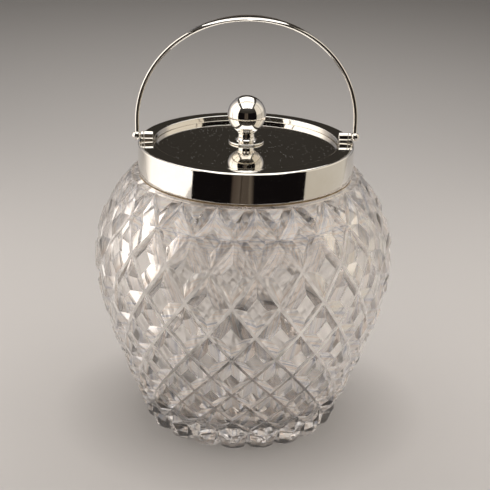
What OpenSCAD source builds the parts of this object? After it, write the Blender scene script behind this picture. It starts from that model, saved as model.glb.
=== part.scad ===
// Biscuit jar: a diamond-cut glass bowl with a plated metal collar, a lift-off
// domed lid with a ball knob, and a bail handle that swings on two pins.
// Millimetres. Origin at the centre of the base, +Z up, bail pivots along X.

/* [Glass bowl] */
// Radius over the diamonds at the widest ring
belly_r = 77.4; // [72:0.2:86]
// Height of the widest ring above the base
belly_z = 89; // [80:0.5:94]
// Radius over the foot at the base
base_r = 50; // [46:0.2:56]
// Width of the glass shoulder outside the collar
shoulder_w = 3.8; // [2.6:0.1:8]
// Height of the glass shoulder that the collar stands on
shoulder_z = 134; // [128:0.5:140]
// Length over which the side below the belly stays round
belly_ease = 30; // [20:0.5:40]
// Power of the curve that closes the side above the belly
shoulder_power = 2.25; // [1.8:0.05:3]
// Wall of the plain neck inside the collar
neck_wall = 6.5; // [5:0.1:7]
// Height above the shoulder where the mouth becomes straight
mouth_rise = 4; // [2:0.5:8]
// Glass left behind the cuts
glass_wall = 5; // [3:0.1:7]
// Thickness of the glass floor
floor_t = 9; // [6:0.5:12]
// Radius between the inner wall and the floor
floor_round = 14; // [6:0.5:20]

/* [Diamond cutting] */
// Number of diamonds around the bowl
columns = 20; // [12:2:28]
// Number of rows of groove crossings below the top points
cut_rows = 10; // [8:2:12]
// Depth of the mitre grooves
cut_depth = 3; // [1.5:0.1:4]
// Depth of the grooves where they run out under the collar
tip_depth = 0.9; // [0.3:0.1:1.5]
// Width of a groove's flat bottom, as a share of a diamond
groove_share = 0.09; // [0.03:0.01:0.15]
// Size of the flat table on a diamond, as a share of the diamond
table_share = 0.4; // [0.2:0.01:0.5]
// Drop from the shoulder to the top points of the grooves
tip_drop = 0.9; // [0.5:0.1:3]
// Height of a diamond for its width at the shoulder
stretch_top = 1.55; // [1.3:0.01:1.7]
// Height of a diamond for its width at the base
stretch_base = 0.93; // [0.8:0.01:1]
// Turn of the pattern about the axis
cut_phase = 2; // [-9:0.25:9]

/* [Foot] */
// Depth of the notches between the foot's lobes
notch_depth = 6; // [2:0.2:8]
// Chamfer of the foot's lower edge
foot_chamfer = 1; // [0.4:0.1:2]
// Radius of the hollow ground under the base
hollow_r = 35; // [24:0.5:38]
// Depth of that hollow
hollow_d = 1.6; // [0.6:0.1:2.5]
// Radius of the star cut in the hollow
star_r = 31; // [18:0.5:34]
// Depth of the star at its centre
star_d = 2.4; // [1:0.1:4]
// Inner radius between the star's points
star_waist_r = 9; // [5:0.5:15]

/* [Collar] */
// Inner radius of the well that the lid lies in
well_r = 46.9; // [43:0.1:50]
// Width of the flange around the well
flange_w = 8.1; // [7.6:0.1:9.5]
// Thickness of the plaster between the neck and the band
bed_t = 3; // [2:0.1:3.6]
// Height of the band, from its lower edge to the top of the flange
band_h = 15.7; // [13:0.1:20]
// Sheet thickness of the collar
sheet_t = 1; // [0.6:0.1:1.4]
// Plaster line that shows below the band
bed_line = 0.9; // [0.4:0.1:2]
// How far the plaster line sits in from the band
bed_inset = 0.4; // [0.1:0.1:0.8]
// Radius of the rolled outer edge
edge_round = 1.3; // [0.8:0.1:2]
// Radius of the crown on the flange
crown_r = 100; // [60:5:200]
// Depth of the well at the lid's edge
well_d = 2.8; // [1.5:0.1:3.5]
// Width of the ledge that the lid rests on
seat_w = 3.5; // [2:0.1:4]
// Clearance left in a soldered or cemented seam
seam = 0.02; // [0.01:0.01:0.05]

/* [Lid] */
// Clearance around the lid's edge
lid_gap = 0.3; // [0.2:0.05:0.6]
// Clearance under the lid's edge
seat_gap = 0.1; // [0.05:0.05:0.3]
// Sheet thickness of the lid
lid_t = 1; // [0.7:0.1:1.3]
// Rise of the lid's dome
lid_rise = 2.2; // [1.2:0.1:4]
// Clearance between the lid's skirt and the ledge
skirt_gap = 0.4; // [0.3:0.05:0.8]
// Thickness of the skirt
skirt_t = 0.8; // [0.5:0.1:1.2]
// Height of the skirt
skirt_h = 7; // [4:0.5:9]

/* [Knob] */
// Radius of the ball
ball_r = 9.75; // [8:0.05:11]
// Height of the ball's centre above the top of the lid
ball_h = 14.3; // [13:0.1:18]
// Radius of the lip under the ball
lip_r = 4.7; // [4.4:0.1:5.4]
// Height of that lip
lip_h = 1.2; // [0.6:0.1:1.6]
// Radius of the stem
stem_r = 4.1; // [3.4:0.1:4.3]
// Radius of the flare at the stem's foot
flare_r = 2.2; // [1:0.1:2.4]
// Radius of the foot disc
disc_r = 9; // [7:0.1:11]
// Thickness of the foot disc
disc_t = 0.9; // [0.6:0.1:1.4]
// Radius of the stud through the knob
stud_r = 1.5; // [1.2:0.05:2]
// Clearance around the stud
stud_gap = 0.05; // [0.03:0.01:0.1]
// Depth of the stud in the ball
stud_reach = 4; // [2:0.5:6]
// Length of the stud past the nut
stud_tail = 1.2; // [0.5:0.1:3]
// Radius of the washer under the lid
washer_r = 5.5; // [4.5:0.1:7]
// Thickness of the washer
washer_t = 0.8; // [0.5:0.1:1.2]
// Radius over the nut's corners
nut_r = 3.4; // [3:0.1:4.2]
// Thickness of the nut
nut_t = 2.4; // [1.6:0.1:3]

/* [Bail pivots] */
// Height of the pivot axis above the flange
pivot_h = 2.3; // [2.3:0.1:3.5]
// Radius of the ears
ear_r = 2.2; // [1.9:0.05:2.2]
// Length of an ear
ear_len = 4.6; // [3:0.1:4.6]
// Distance from the collar's edge to the ears
ear_edge = 3.1; // [3:0.1:3.8]
// Width of the ear's foot
ear_foot_w = 2.8; // [2:0.1:3.4]
// Radius of the pivot pins
pin_r = 1; // [0.7:0.05:1.2]
// Radial clearance of the pins in the ears
pin_gap = 0.05; // [0.02:0.01:0.1]
// End clearance between an ear and its spacer
spacer_gap = 0.15; // [0.1:0.05:0.3]
// Radius of the spacers
spacer_r = 2.1; // [1.8:0.05:2.1]
// Length of a spacer, from its ear's clearance to the boss
spacer_len = 1.37; // [1.3:0.01:3]
// Radius of the ball boss at each end of the bail
boss_r = 2.4; // [2.2:0.05:2.8]

/* [Bail handle] */
// Distance of the legs inside the middle of the bosses
leg_in = 0.3; // [0:0.1:0.5]
// How far the bail bulges outside its legs
bail_bulge = 0.1; // [0:0.1:5]
// Height of the bail's centre line above the pivots
bail_h = 60.6; // [52:0.2:80]
// Height of the straight legs
leg_h = 8; // [6:0.1:20]
// Thickness of the strip, in the plane of the bail
strip_t = 2.2; // [1.6:0.1:2.2]
// Width of the strip at the legs
leg_w = 2.2; // [1.8:0.1:2.3]
// Width of the strip at the grip
grip_w = 10; // [4:0.1:14]
// How quickly the grip widens towards the top
grip_power = 12; // [4:1:24]
// Wall between the socket of a leg and the pin
socket_wall = 0.3; // [0.2:0.05:0.5]
// Clearance around a leg in its socket
socket_gap = 0.06; // [0.03:0.01:0.12]

/* [Hidden] */
$fn = 96;
over = 1;

// Radii that follow the well
collar_r = well_r + flange_w;
shoulder_r = collar_r + shoulder_w;
neck_r = collar_r - sheet_t - bed_t;
mouth_r = neck_r - neck_wall;

// Heights of the collar and the lid's seat
band_z = shoulder_z + bed_line;
flange_z = band_z + band_h;
lid_edge_z = flange_z - well_d;
seat_z = lid_edge_z - lid_t - seat_gap;
neck_z = seat_z - sheet_t;
seat_r = well_r - seat_w;

// The lid is a shallow cap of a sphere
lid_r = well_r - lid_gap;
lid_top_z = lid_edge_z + lid_rise;
dome_r = (lid_r * lid_r + lid_rise * lid_rise) / (2 * lid_rise);
skirt_r = seat_r - skirt_gap;
function lid_z(r) = lid_top_z - dome_r + sqrt(dome_r * dome_r - r * r);

// Knob
ball_z = lid_top_z + ball_h;
disc_top_z = lid_top_z + seam + disc_t;
lip_z = ball_z - sqrt(ball_r * ball_r - lip_r * lip_r);
bore_r = stud_r + stud_gap;
washer_top_z = lid_z(washer_r) - lid_t - seam;
nut_top_z = washer_top_z - washer_t;
stud_top_z = lip_z + stud_reach;
stud_low_z = nut_top_z - nut_t - stud_tail;

// Pivots
pivot_z = flange_z + pivot_h;
ear_x = collar_r - ear_edge - ear_len;
spacer_x = ear_x + ear_len + spacer_gap;
boss_reach = sqrt(boss_r * boss_r - pin_r * pin_r);
boss_x = spacer_x + spacer_len + boss_reach;
leg_x = boss_x - leg_in;
bail_half_w = leg_x + bail_bulge;
pin_x = ear_x + spacer_gap;
pin_len = boss_x + boss_reach - pin_x;
socket_z = pin_r + socket_wall;
socket_r = leg_w / 2 + socket_gap;

// ---- Glass bowl ----

half_turn = 180 / columns;
arch = belly_r - base_r;
ease_span = norm([belly_z, belly_ease]) - belly_ease;

// Radius over the diamonds at height z
function point_r(z) = z > belly_z
    ? belly_r - (belly_r - shoulder_r) * pow((z - belly_z) / (shoulder_z - belly_z), shoulder_power)
    : belly_r - arch * (norm([belly_z - z, belly_ease]) - belly_ease) / ease_span;

// Slope of that outline, radius for height
function point_slope(z) = z > belly_z
    ? -shoulder_power * (belly_r - shoulder_r) / (shoulder_z - belly_z)
        * pow((z - belly_z) / (shoulder_z - belly_z), shoulder_power - 1)
    : arch * (belly_z - z) / norm([belly_z - z, belly_ease]) / ease_span;

// Drop from one row of crossings to the next, measured down the slope at height z
function row_drop(z) = (stretch_base + (stretch_top - stretch_base) * z / shoulder_z)
    * PI * point_r(z) / columns / norm([1, point_slope(z)]);

// Height of row j: each drop is taken at its middle
function row_z(j) = j == 0
    ? shoulder_z - tip_drop
    : let(z = row_z(j - 1)) z - row_drop(z - row_drop(z) / 2);

rows_z = [for (j = [0:cut_rows]) row_z(j)];
function depth(j) = j == 0 ? tip_depth : cut_depth;

// A point on the bowl: turn 0 faces -Y, and turns run towards +X
function on_bowl(r, turn, z) = [r * sin(turn), -r * cos(turn), z];
function turn_at(j, k) = cut_phase + (2 * k + j % 2) * half_turn;

// Distance from row j to the row above it, and to the row below it
function rise(j) = j == 0 ? rows_z[0] - rows_z[1] : rows_z[j - 1] - rows_z[j];
function fall(j) = j == cut_rows ? rise(j) : rows_z[j] - rows_z[j + 1];

// The nine points of cell k in row j: the crossing's north, east, south and west
// corners, the middle of the diamond to its right, and the corners of that
// diamond's table, which all lie in one plane
function cell(j, k) =
    let(
        z = rows_z[j],
        up = rise(j) * groove_share,
        down = fall(j) * groove_share,
        side = half_turn * groove_share,
        turn = turn_at(j, k),
        d = depth(j),
        middle = turn + half_turn,
        table_side = half_turn * table_share,
        table_up = rise(j) * table_share,
        table_down = fall(j) * table_share,
        table_r = point_r(z) * cos(table_side)
    ) [
        on_bowl(point_r(z + up) - d, turn, z + up),
        on_bowl(point_r(z) - d, turn + side, z),
        on_bowl(point_r(z - down) - d, turn, z - down),
        on_bowl(point_r(z) - d, turn - side, z),
        on_bowl(point_r(z), middle, z),
        on_bowl(table_r + point_slope(z) * table_up, middle, z + table_up),
        on_bowl(point_r(z), middle + table_side, z),
        on_bowl(table_r - point_slope(z) * table_down, middle, z - table_down),
        on_bowl(point_r(z), middle - table_side, z)
    ];
NORTH = 0;
EAST = 1;
SOUTH = 2;
WEST = 3;
POINT = 4;
TABLE = 5;
cell_points = 9;

// Index of a cell's point in the list of points
function id(j, k, p) = (j * columns + (k + columns) % columns) * cell_points + p;

// The shoulder ring stands over the top row's points, past the height where the
// shoulder is cut level
shoulder_start = (cut_rows + 1) * columns * cell_points;
shoulder_stops = [-groove_share, 0, groove_share, 1 - table_share, 1 + table_share];
shoulder_points = len(shoulder_stops);
function shoulder_id(k, p) = shoulder_start + ((k + columns) % columns) * shoulder_points + p;
shoulder_turns = [for (k = [0:columns - 1], s = shoulder_stops) turn_at(0, k) + s * half_turn];

// The foot is a ring of round lobes, each under a column of points
lobe_steps = 8;
foot_start = shoulder_start + shoulder_points * columns;
foot_count = columns * lobe_steps;
function foot_id(ring, k, m) = foot_start + ring * foot_count + (k * lobe_steps + m + foot_count) % foot_count;
function lobe(t) = sqrt(1 - pow(abs(2 * t - 1), 2.2));
function foot_ring(z, r, notch) = [
    for (k = [0:columns - 1], m = [0:lobe_steps - 1])
        on_bowl(r - notch * (1 - lobe(m / lobe_steps)), turn_at(cut_rows, k) + 2 * half_turn * m / lobe_steps, z)
];

bowl_points = concat(
    [for (j = [0:cut_rows], k = [0:columns - 1], p = cell(j, k)) p],
    [for (turn = shoulder_turns) on_bowl(2 * shoulder_r - point_r(row_z(0)), turn, shoulder_z + tip_drop)],
    foot_ring(foot_chamfer, point_r(foot_chamfer), notch_depth),
    foot_ring(-foot_chamfer, base_r - 2 * foot_chamfer, notch_depth)
);

// Two faces between four corners, given clockwise as seen from outside
function strip(a, b, c, d) = [[a, b, c], [a, c, d]];

// The diamond between two crossings of row j: a flat table with four slopes around it
function diamond(j, k) =
    let(
        c = k + j % 2,
        corners = [id(j - 1, c, SOUTH), id(j, k + 1, WEST), id(j + 1, c, NORTH), id(j, k, EAST)],
        table = [for (p = [0:3]) id(j, k, TABLE + p)]
    ) concat(
        strip(table[0], table[1], table[2], table[3]),
        [for (p = [0:3]) let(q = (p + 1) % 4) each strip(table[p], corners[p], corners[q], table[q])]
    );

// Groove bottoms that leave crossing k of row j to the lower right and lower left
function grooves(j, k) =
    let(right = k + j % 2, left = k - 1 + j % 2)
    concat(
        strip(id(j, k, EAST), id(j + 1, right, NORTH), id(j + 1, right, WEST), id(j, k, SOUTH)),
        strip(id(j, k, WEST), id(j, k, SOUTH), id(j + 1, left, EAST), id(j + 1, left, NORTH))
    );

function crossing(j, k) = strip(id(j, k, NORTH), id(j, k, EAST), id(j, k, SOUTH), id(j, k, WEST));

// Half diamonds that hang from the plain shoulder, and the shoulder above them
function top_faces(k) =
    let(
        low = id(1, k, NORTH),
        right = id(0, k + 1, WEST),
        left = id(0, k, EAST),
        table_right = id(0, k, TABLE + 1),
        table_low = id(0, k, TABLE + 2),
        table_left = id(0, k, TABLE + 3)
    ) concat(
        [[table_left, table_right, table_low]],
        strip(table_right, right, low, table_low),
        strip(table_low, low, left, table_left),
        strip(shoulder_id(k, 0), shoulder_id(k, 1), id(0, k, NORTH), id(0, k, WEST)),
        strip(shoulder_id(k, 1), shoulder_id(k, 2), left, id(0, k, NORTH)),
        strip(shoulder_id(k, 2), shoulder_id(k, 3), table_left, left),
        strip(shoulder_id(k, 3), shoulder_id(k, 4), table_right, table_left),
        strip(shoulder_id(k, 4), shoulder_id(k + 1, 0), right, table_right)
    );

// Upper half of the last diamond, and the lobe that it grows into
function foot_faces(k) =
    let(
        j = cut_rows,
        south = id(j, k, SOUTH),
        east = id(j, k, EAST),
        point = id(j, k, POINT),
        west = id(j, k + 1, WEST),
        next = id(j, k + 1, SOUTH),
        top = id(j - 1, k + j % 2, SOUTH),
        f = [for (m = [0:lobe_steps]) foot_id(0, k, m)]
    ) concat(
        [
            [point, top, west], [point, east, top],
            [south, east, f[0]], [east, f[1], f[0]], [east, f[2], f[1]], [east, point, f[2]],
            [point, f[3], f[2]], [point, f[4], f[3]], [point, f[5], f[4]], [point, f[6], f[5]],
            [point, west, f[6]], [west, f[7], f[6]], [west, f[8], f[7]], [west, next, f[8]]
        ],
        [
            for (m = [0:lobe_steps - 1])
                each strip(foot_id(0, k, m), foot_id(0, k, m + 1), foot_id(1, k, m + 1), foot_id(1, k, m))
        ]
    );

bowl_faces = concat(
    [for (j = [1:cut_rows - 1], k = [0:columns - 1]) each diamond(j, k)],
    [for (j = [0:cut_rows - 1], k = [0:columns - 1]) each grooves(j, k)],
    [for (j = [0:cut_rows], k = [0:columns - 1]) each crossing(j, k)],
    [for (k = [0:columns - 1]) each top_faces(k)],
    [for (k = [0:columns - 1]) each foot_faces(k)],
    [[for (i = [shoulder_points * columns - 1:-1:0]) shoulder_start + i]],
    [[for (i = [0:foot_count - 1]) foot_start + foot_count + i]]
);

// Inner wall: parallel to the outside below the belly, closing to the mouth above
inner_belly_r = belly_r - cut_depth - glass_wall;
mouth_z = shoulder_z + mouth_rise;
function inner_r(z) = z > belly_z
    ? inner_belly_r - (inner_belly_r - mouth_r) * pow((z - belly_z) / (mouth_z - belly_z), shoulder_power)
    : point_r(z) - cut_depth - glass_wall;

module cavity() {
    steps = 24;
    low_z = floor_t + floor_round;
    corner_r = inner_r(low_z) - floor_round;
    rotate_extrude()
        polygon(concat(
            [[0, floor_t]],
            [for (a = [-90:10:0]) [corner_r, low_z] + floor_round * [cos(a), sin(a)]],
            [for (i = [1:steps]) let(z = low_z + (belly_z - low_z) * i / steps) [inner_r(z), z]],
            [for (i = [1:steps]) let(z = belly_z + (mouth_z - belly_z) * i / steps) [inner_r(z), z]],
            [[mouth_r, neck_z + over], [0, neck_z + over]]
        ));
}

// Star of mitre cuts in the base: its points run out at star_r
module base_star() {
    sink = 0.5;
    grow = (star_d + sink) / star_d;
    star_z = hollow_d - sink;
    rim = [
        for (k = [0:2 * columns - 1])
            on_bowl((k % 2 == 0 ? star_r : star_waist_r) * grow, cut_phase + k * half_turn, star_z)
    ];
    count = len(rim);
    polyhedron(
        points = concat(rim, [[0, 0, hollow_d + star_d], [0, 0, star_z]]),
        faces = concat(
            [for (k = [0:count - 1]) [count, (k + 1) % count, k]],
            [for (k = [0:count - 1]) [count + 1, k, (k + 1) % count]]
        )
    );
}

module glass_body() {
    color([0.85, 0.88, 0.9, 0.5])
        difference() {
            union() {
                intersection() {
                    polyhedron(points = bowl_points, faces = bowl_faces);
                    cylinder(h = shoulder_z, r = belly_r + over);
                }
                translate([0, 0, belly_z]) cylinder(h = neck_z - belly_z, r = neck_r);
            }
            cavity();
            translate([0, 0, -over]) cylinder(h = hollow_d + over, r = hollow_r);
            base_star();
        }
}

// ---- Collar ----

// Ring of rectangular section between two radii and two heights
module ring(inner, outer, low, high) {
    rotate_extrude()
        polygon([[inner, low], [outer, low], [outer, high], [inner, high]]);
}

module plaster_bed() {
    bed_in = neck_r + seam;
    bed_out = collar_r - sheet_t - seam;
    color([0.62, 0.5, 0.3])
        rotate_extrude()
            polygon([
                [bed_in, shoulder_z], [collar_r - bed_inset, shoulder_z],
                [collar_r - bed_inset, band_z], [bed_out, band_z],
                [bed_out, neck_z], [bed_in, neck_z]
            ]);
}

module collar_band() {
    color([0.8, 0.78, 0.74])
        ring(collar_r - sheet_t, collar_r, band_z, flange_z - edge_round);
}

// Height of the crowned flange at radius r
function flange_top(r) = flange_z - crown_r + sqrt(crown_r * crown_r - (r - well_r) * (r - well_r));

module collar_top() {
    edge_r = collar_r - edge_round;
    edge_low = flange_z - edge_round;
    edge_top = flange_top(edge_r);
    inner_edge = collar_r - sheet_t;
    color([0.82, 0.8, 0.76])
        rotate_extrude()
            polygon(concat(
                [[seat_r, neck_z], [well_r + sheet_t, neck_z]],
                [[well_r + sheet_t, flange_z - edge_round], [collar_r, edge_low]],
                [for (a = [15:15:75]) [edge_r + edge_round * cos(a), edge_low + (edge_top - edge_low) * sin(a)]],
                [for (i = [8:-1:0]) let(r = well_r + (edge_r - well_r) * i / 8) [r, flange_top(r)]],
                [[well_r, seat_z], [seat_r, seat_z]]
            ));
}

module ear() {
    difference() {
        union() {
            translate([ear_x, 0, pivot_z]) rotate([0, 90, 0]) cylinder(h = ear_len, r = ear_r);
            translate([ear_x, -ear_foot_w / 2, flange_z]) cube([ear_len, ear_foot_w, pivot_h]);
        }
        translate([ear_x - over, 0, pivot_z])
            rotate([0, 90, 0]) cylinder(h = ear_len + 2 * over, r = pin_r + pin_gap);
    }
}

module left_ear() { color([0.8, 0.78, 0.74]) mirror([1, 0, 0]) ear(); }
module right_ear() { color([0.8, 0.78, 0.74]) ear(); }

// ---- Lid ----

module lid_plate() {
    steps = 20;
    color([0.8, 0.78, 0.75])
        rotate_extrude()
            polygon(concat(
                [for (i = [0:steps]) let(r = bore_r + (lid_r - bore_r) * i / steps) [r, lid_z(r)]],
                [for (i = [steps:-1:0]) let(r = bore_r + (lid_r - bore_r) * i / steps) [r, lid_z(r) - lid_t]]
            ));
}

module lid_skirt() {
    inner = skirt_r - skirt_t;
    color([0.78, 0.76, 0.72])
        rotate_extrude()
            polygon([
                [inner, lid_z(inner) - lid_t - seam], [skirt_r, lid_z(skirt_r) - lid_t - seam],
                [skirt_r, lid_edge_z - skirt_h], [inner, lid_edge_z - skirt_h]
            ]);
}

module knob_foot() {
    low = lid_top_z + seam;
    soft = disc_t / 2;
    color([0.8, 0.78, 0.74])
        rotate_extrude()
            polygon(concat(
                [[bore_r, low]],
                [for (a = [-90:15:90]) [disc_r - soft, low + soft] + soft * [cos(a), sin(a)]],
                [[bore_r, disc_top_z]]
            ));
}

module knob_stem() {
    color([0.8, 0.78, 0.74])
        rotate_extrude()
            polygon(concat(
                [[bore_r, disc_top_z]],
                [for (a = [-90:-15:-180]) [stem_r + flare_r, disc_top_z + flare_r] + flare_r * [cos(a), sin(a)]],
                [[stem_r, lip_z - lip_h], [lip_r, lip_z - lip_h / 3], [lip_r, lip_z], [bore_r, lip_z]]
            ));
}

module knob_ball() {
    color([0.85, 0.83, 0.8])
        difference() {
            translate([0, 0, ball_z]) sphere(r = ball_r);
            translate([0, 0, lip_z - 2 * ball_r]) cylinder(h = 2 * ball_r, r = ball_r);
            translate([0, 0, lip_z - over]) cylinder(h = stud_reach + over, r = bore_r);
        }
}

module knob_stud() {
    color([0.75, 0.65, 0.4])
        translate([0, 0, stud_low_z]) cylinder(h = stud_top_z - stud_low_z, r = stud_r);
}

module knob_washer() {
    color([0.75, 0.73, 0.7])
        ring(bore_r, washer_r, nut_top_z, washer_top_z);
}

module knob_nut() {
    color([0.75, 0.65, 0.4])
        difference() {
            translate([0, 0, nut_top_z - nut_t]) cylinder(h = nut_t, r = nut_r, $fn = 6);
            translate([0, 0, nut_top_z - nut_t - over]) cylinder(h = nut_t + 2 * over, r = bore_r);
        }
}

// ---- Bail ----

// Centre line of the bail: a leg, a half ellipse and a leg; u runs from 0 to 1
leg_share = 0.06;
arch_h = bail_h - leg_h;
function bail_line(u) = u < leg_share
    ? let(t = u / leg_share) [leg_x + (bail_half_w - leg_x) * t, socket_z + (leg_h - socket_z) * t]
    : u > 1 - leg_share
    ? let(p = bail_line(1 - u)) [-p[0], p[1]]
    : let(a = 180 * (u - leg_share) / (1 - 2 * leg_share)) [bail_half_w * cos(a), leg_h + arch_h * sin(a)];

// Outward direction across the strip at u
function bail_out(u) =
    let(
        a = bail_line(max(u - 0.004, 0)),
        b = bail_line(min(u + 0.004, 1)),
        t = (b - a) / norm(b - a)
    ) [t[1], -t[0]];

// The grip is widest at the top
function strip_w(u) = leg_w + (grip_w - leg_w) * pow(sin(180 * u), grip_power);

bail_stations = 52;
section_points = 16;
squareness = 0.8;
function soft_sign(x) = sign(x) * pow(abs(x), squareness);

function bail_section(u) =
    let(c = bail_line(u), out = bail_out(u)) [
        for (i = [0:section_points - 1])
            let(
                a = 360 * i / section_points,
                s = soft_sign(cos(a)) * strip_t / 2,
                w = soft_sign(sin(a)) * strip_w(u) / 2
            ) [c[0] + out[0] * s, w, pivot_z + c[1] + out[1] * s]
    ];

module bail_handle() {
    points = [for (i = [0:bail_stations]) each bail_section(i / bail_stations)];
    n = section_points;
    sides = [
        for (i = [0:bail_stations - 1], k = [0:n - 1])
            each strip(i * n + k, (i + 1) * n + k, (i + 1) * n + (k + 1) % n, i * n + (k + 1) % n)
    ];
    first = [for (k = [0:n - 1]) k];
    last = [for (k = [n - 1:-1:0]) bail_stations * n + k];
    color([0.82, 0.8, 0.76])
        polyhedron(points = points, faces = concat(sides, [first, last]));
}

module boss() {
    difference() {
        translate([boss_x, 0, pivot_z]) sphere(r = boss_r);
        translate([boss_x - 2 * boss_r, 0, pivot_z]) rotate([0, 90, 0]) cylinder(h = 4 * boss_r, r = pin_r);
        translate([leg_x, 0, pivot_z + socket_z]) cylinder(h = 2 * boss_r, r = socket_r);
    }
}

module left_boss() { color([0.82, 0.8, 0.76]) mirror([1, 0, 0]) boss(); }
module right_boss() { color([0.82, 0.8, 0.76]) boss(); }

module pivot_pin() {
    translate([pin_x, 0, pivot_z]) rotate([0, 90, 0]) cylinder(h = pin_len, r = pin_r);
}

module left_pivot_pin() { color([0.7, 0.68, 0.65]) mirror([1, 0, 0]) pivot_pin(); }
module right_pivot_pin() { color([0.7, 0.68, 0.65]) pivot_pin(); }

module spacer() {
    translate([spacer_x, 0, pivot_z])
        rotate([0, 90, 0])
            difference() {
                cylinder(h = spacer_len, r = spacer_r);
                translate([0, 0, -over]) cylinder(h = spacer_len + 2 * over, r = pin_r);
            }
}

module left_spacer() { color([0.78, 0.76, 0.72]) mirror([1, 0, 0]) spacer(); }
module right_spacer() { color([0.78, 0.76, 0.72]) spacer(); }

glass_body();
plaster_bed();
collar_band();
collar_top();
left_ear();
right_ear();
lid_plate();
lid_skirt();
knob_foot();
knob_stem();
knob_ball();
knob_stud();
knob_washer();
knob_nut();
bail_handle();
left_boss();
right_boss();
left_pivot_pin();
right_pivot_pin();
left_spacer();
right_spacer();
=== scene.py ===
import math

import bmesh
import bpy
from bpy.props import FloatProperty, FloatVectorProperty, IntProperty, PointerProperty
from mathutils import Matrix, Vector


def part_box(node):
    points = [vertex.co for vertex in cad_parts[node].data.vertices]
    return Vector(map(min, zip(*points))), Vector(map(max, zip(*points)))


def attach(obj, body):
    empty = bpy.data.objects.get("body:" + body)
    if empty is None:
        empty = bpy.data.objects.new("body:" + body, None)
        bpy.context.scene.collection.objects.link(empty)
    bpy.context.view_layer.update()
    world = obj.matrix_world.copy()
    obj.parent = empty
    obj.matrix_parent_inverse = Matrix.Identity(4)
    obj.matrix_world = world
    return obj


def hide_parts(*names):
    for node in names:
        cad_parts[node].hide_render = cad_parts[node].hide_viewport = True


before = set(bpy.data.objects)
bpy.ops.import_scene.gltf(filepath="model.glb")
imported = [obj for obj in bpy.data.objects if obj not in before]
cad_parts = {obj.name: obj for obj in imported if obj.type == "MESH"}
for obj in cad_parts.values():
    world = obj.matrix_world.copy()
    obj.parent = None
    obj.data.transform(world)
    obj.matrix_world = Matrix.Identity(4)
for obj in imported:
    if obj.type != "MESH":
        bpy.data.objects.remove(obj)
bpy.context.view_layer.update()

bl_info = {
    "name": "Biscuit Jar Finish",
    "version": (1, 0, 0),
    "blender": (4, 5, 0),
    "location": "View3D > Sidebar > Biscuit Jar",
    "description": "Dresses a diamond-cut glass biscuit jar with its plated collar, lid, knob and bail",
    "category": "Object",
}

FRAME_SIDE = 490  # pixels, the square picture that the camera frames

SWEEP_TONE = (0.62, 0.6, 0.585)  # the plain pale paper that the jar stands on
AIR_TONE = (0.05, 0.048, 0.045)  # what the camera sees past the paper's edge
SWEEP_RADIUS = 5.0
PAINTED_SHADOW_SHARE = 0.5  # painted shadow: share of the sweep's colour that stays right under the glass, which casts no shadow
# Painted shadow under the glass: share of the sweep's colour by distance from the jar's axis in metres
PAINTED_SHADOW_RINGS = ((0.035, PAINTED_SHADOW_SHARE), (0.06, (1 + PAINTED_SHADOW_SHARE) / 2), (0.1, 1.0))
# Glow of the side cards by distance behind the jar in metres
LEFT_CARD_TONES = (
    (-0.29, (1.5, 1.39, 1.28)), (0.14, (1.45, 1.35, 1.25)), (0.28, (0.6, 0.55, 0.51)),
    (0.5, (0.25, 0.24, 0.24)), (1.6, (0.16, 0.16, 0.17)),
)
RIGHT_CARD_TONES = (
    (-0.2, (0.55, 0.495, 0.415)), (0.22, (0.6, 0.55, 0.48)), (0.34, (0.3, 0.28, 0.265)),
    (0.9, (0.14, 0.14, 0.15)),
)
# Glow of the dark flag from left to right, by sideways distance in metres
FLAG_TONES = (
    (-0.36, (0.005, 0.004, 0.004)), (-0.085, (0.005, 0.004, 0.004)), (-0.07, (0.07, 0.052, 0.04)),
    (-0.03, (0.1, 0.078, 0.06)), (-0.024, (0.03, 0.022, 0.017)), (-0.018, (0.085, 0.066, 0.05)),
    (0.02, (0.075, 0.058, 0.044)), (0.03, (0.13, 0.105, 0.08)), (0.045, (0.06, 0.046, 0.035)),
    (0.055, (0.005, 0.004, 0.004)), (0.36, (0.005, 0.004, 0.004)),
)
FLAG_RADIUS = 0.36
FLAG_HEIGHT = 0.3
FLAG_FOOT = 0.001  # gap between the flag and the floor
FLAG_ENDS = (math.radians(-53), math.radians(61))  # where the flag stops, from the jar's right side
# Upright side cards: name, side, foot and top in metres, tones and strength of their glow
CARDS = (
    ("left_card", -0.37, 0.002, 0.2, LEFT_CARD_TONES, 1.0),
    ("left_card_top", -0.37, 0.2, 0.6, LEFT_CARD_TONES, 1.25),
    ("right_card", 0.37, 0.002, 0.2, RIGHT_CARD_TONES, 1.0),
    ("right_card_top", 0.37, 0.2, 0.6, RIGHT_CARD_TONES, 1.5),
)
# Soft lamps: name, centre, aim, size, power in watts, colour, and whether mirrors and glass see them
PANELS = (
    ("soft_panel_left", (-0.37, 0.02, 0.23), (0, 0.02, 0.2), (0.6, 0.44), 1.0, (1.0, 0.94, 0.88), False),
    ("soft_panel_right", (0.37, 0.02, 0.23), (0, 0.02, 0.2), (0.6, 0.44), 0.9, (1.0, 0.94, 0.88), False),
    ("soft_panel_top", (0, 0.2, 0.75), (0, 0.2, 0), (0.7, 1.3), 5.2, (1.0, 0.97, 0.94), True),
)
# Glow of the air by the height of the look, from level (0) to straight up (1)
AIR_GLOW = (
    (0.0, (0.03, 0.026, 0.022)), (0.05, (0.12, 0.097, 0.08)), (0.12, (0.12, 0.1, 0.08)),
    (0.17, (0.034, 0.03, 0.025)), (0.5, (0.035, 0.031, 0.026)), (1.0, (0.12, 0.11, 0.1)),
)

MERGE_DISTANCE = 0.000001  # metres within which loose corners are one corner
CUTS_START = 0.002  # metres above the table, where the cutting of the glass begins
CUT_EDGE_ANGLE = math.radians(20)  # edges of the cuts are sharper than this
FACET_ANGLE = math.radians(12)  # the glass is smooth where its faces meet at less
METAL_EDGE_ANGLE = math.radians(40)
METAL_SMOOTH_ANGLE = math.radians(35)
BAIL_SMOOTH_ANGLE = math.radians(60)
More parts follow.
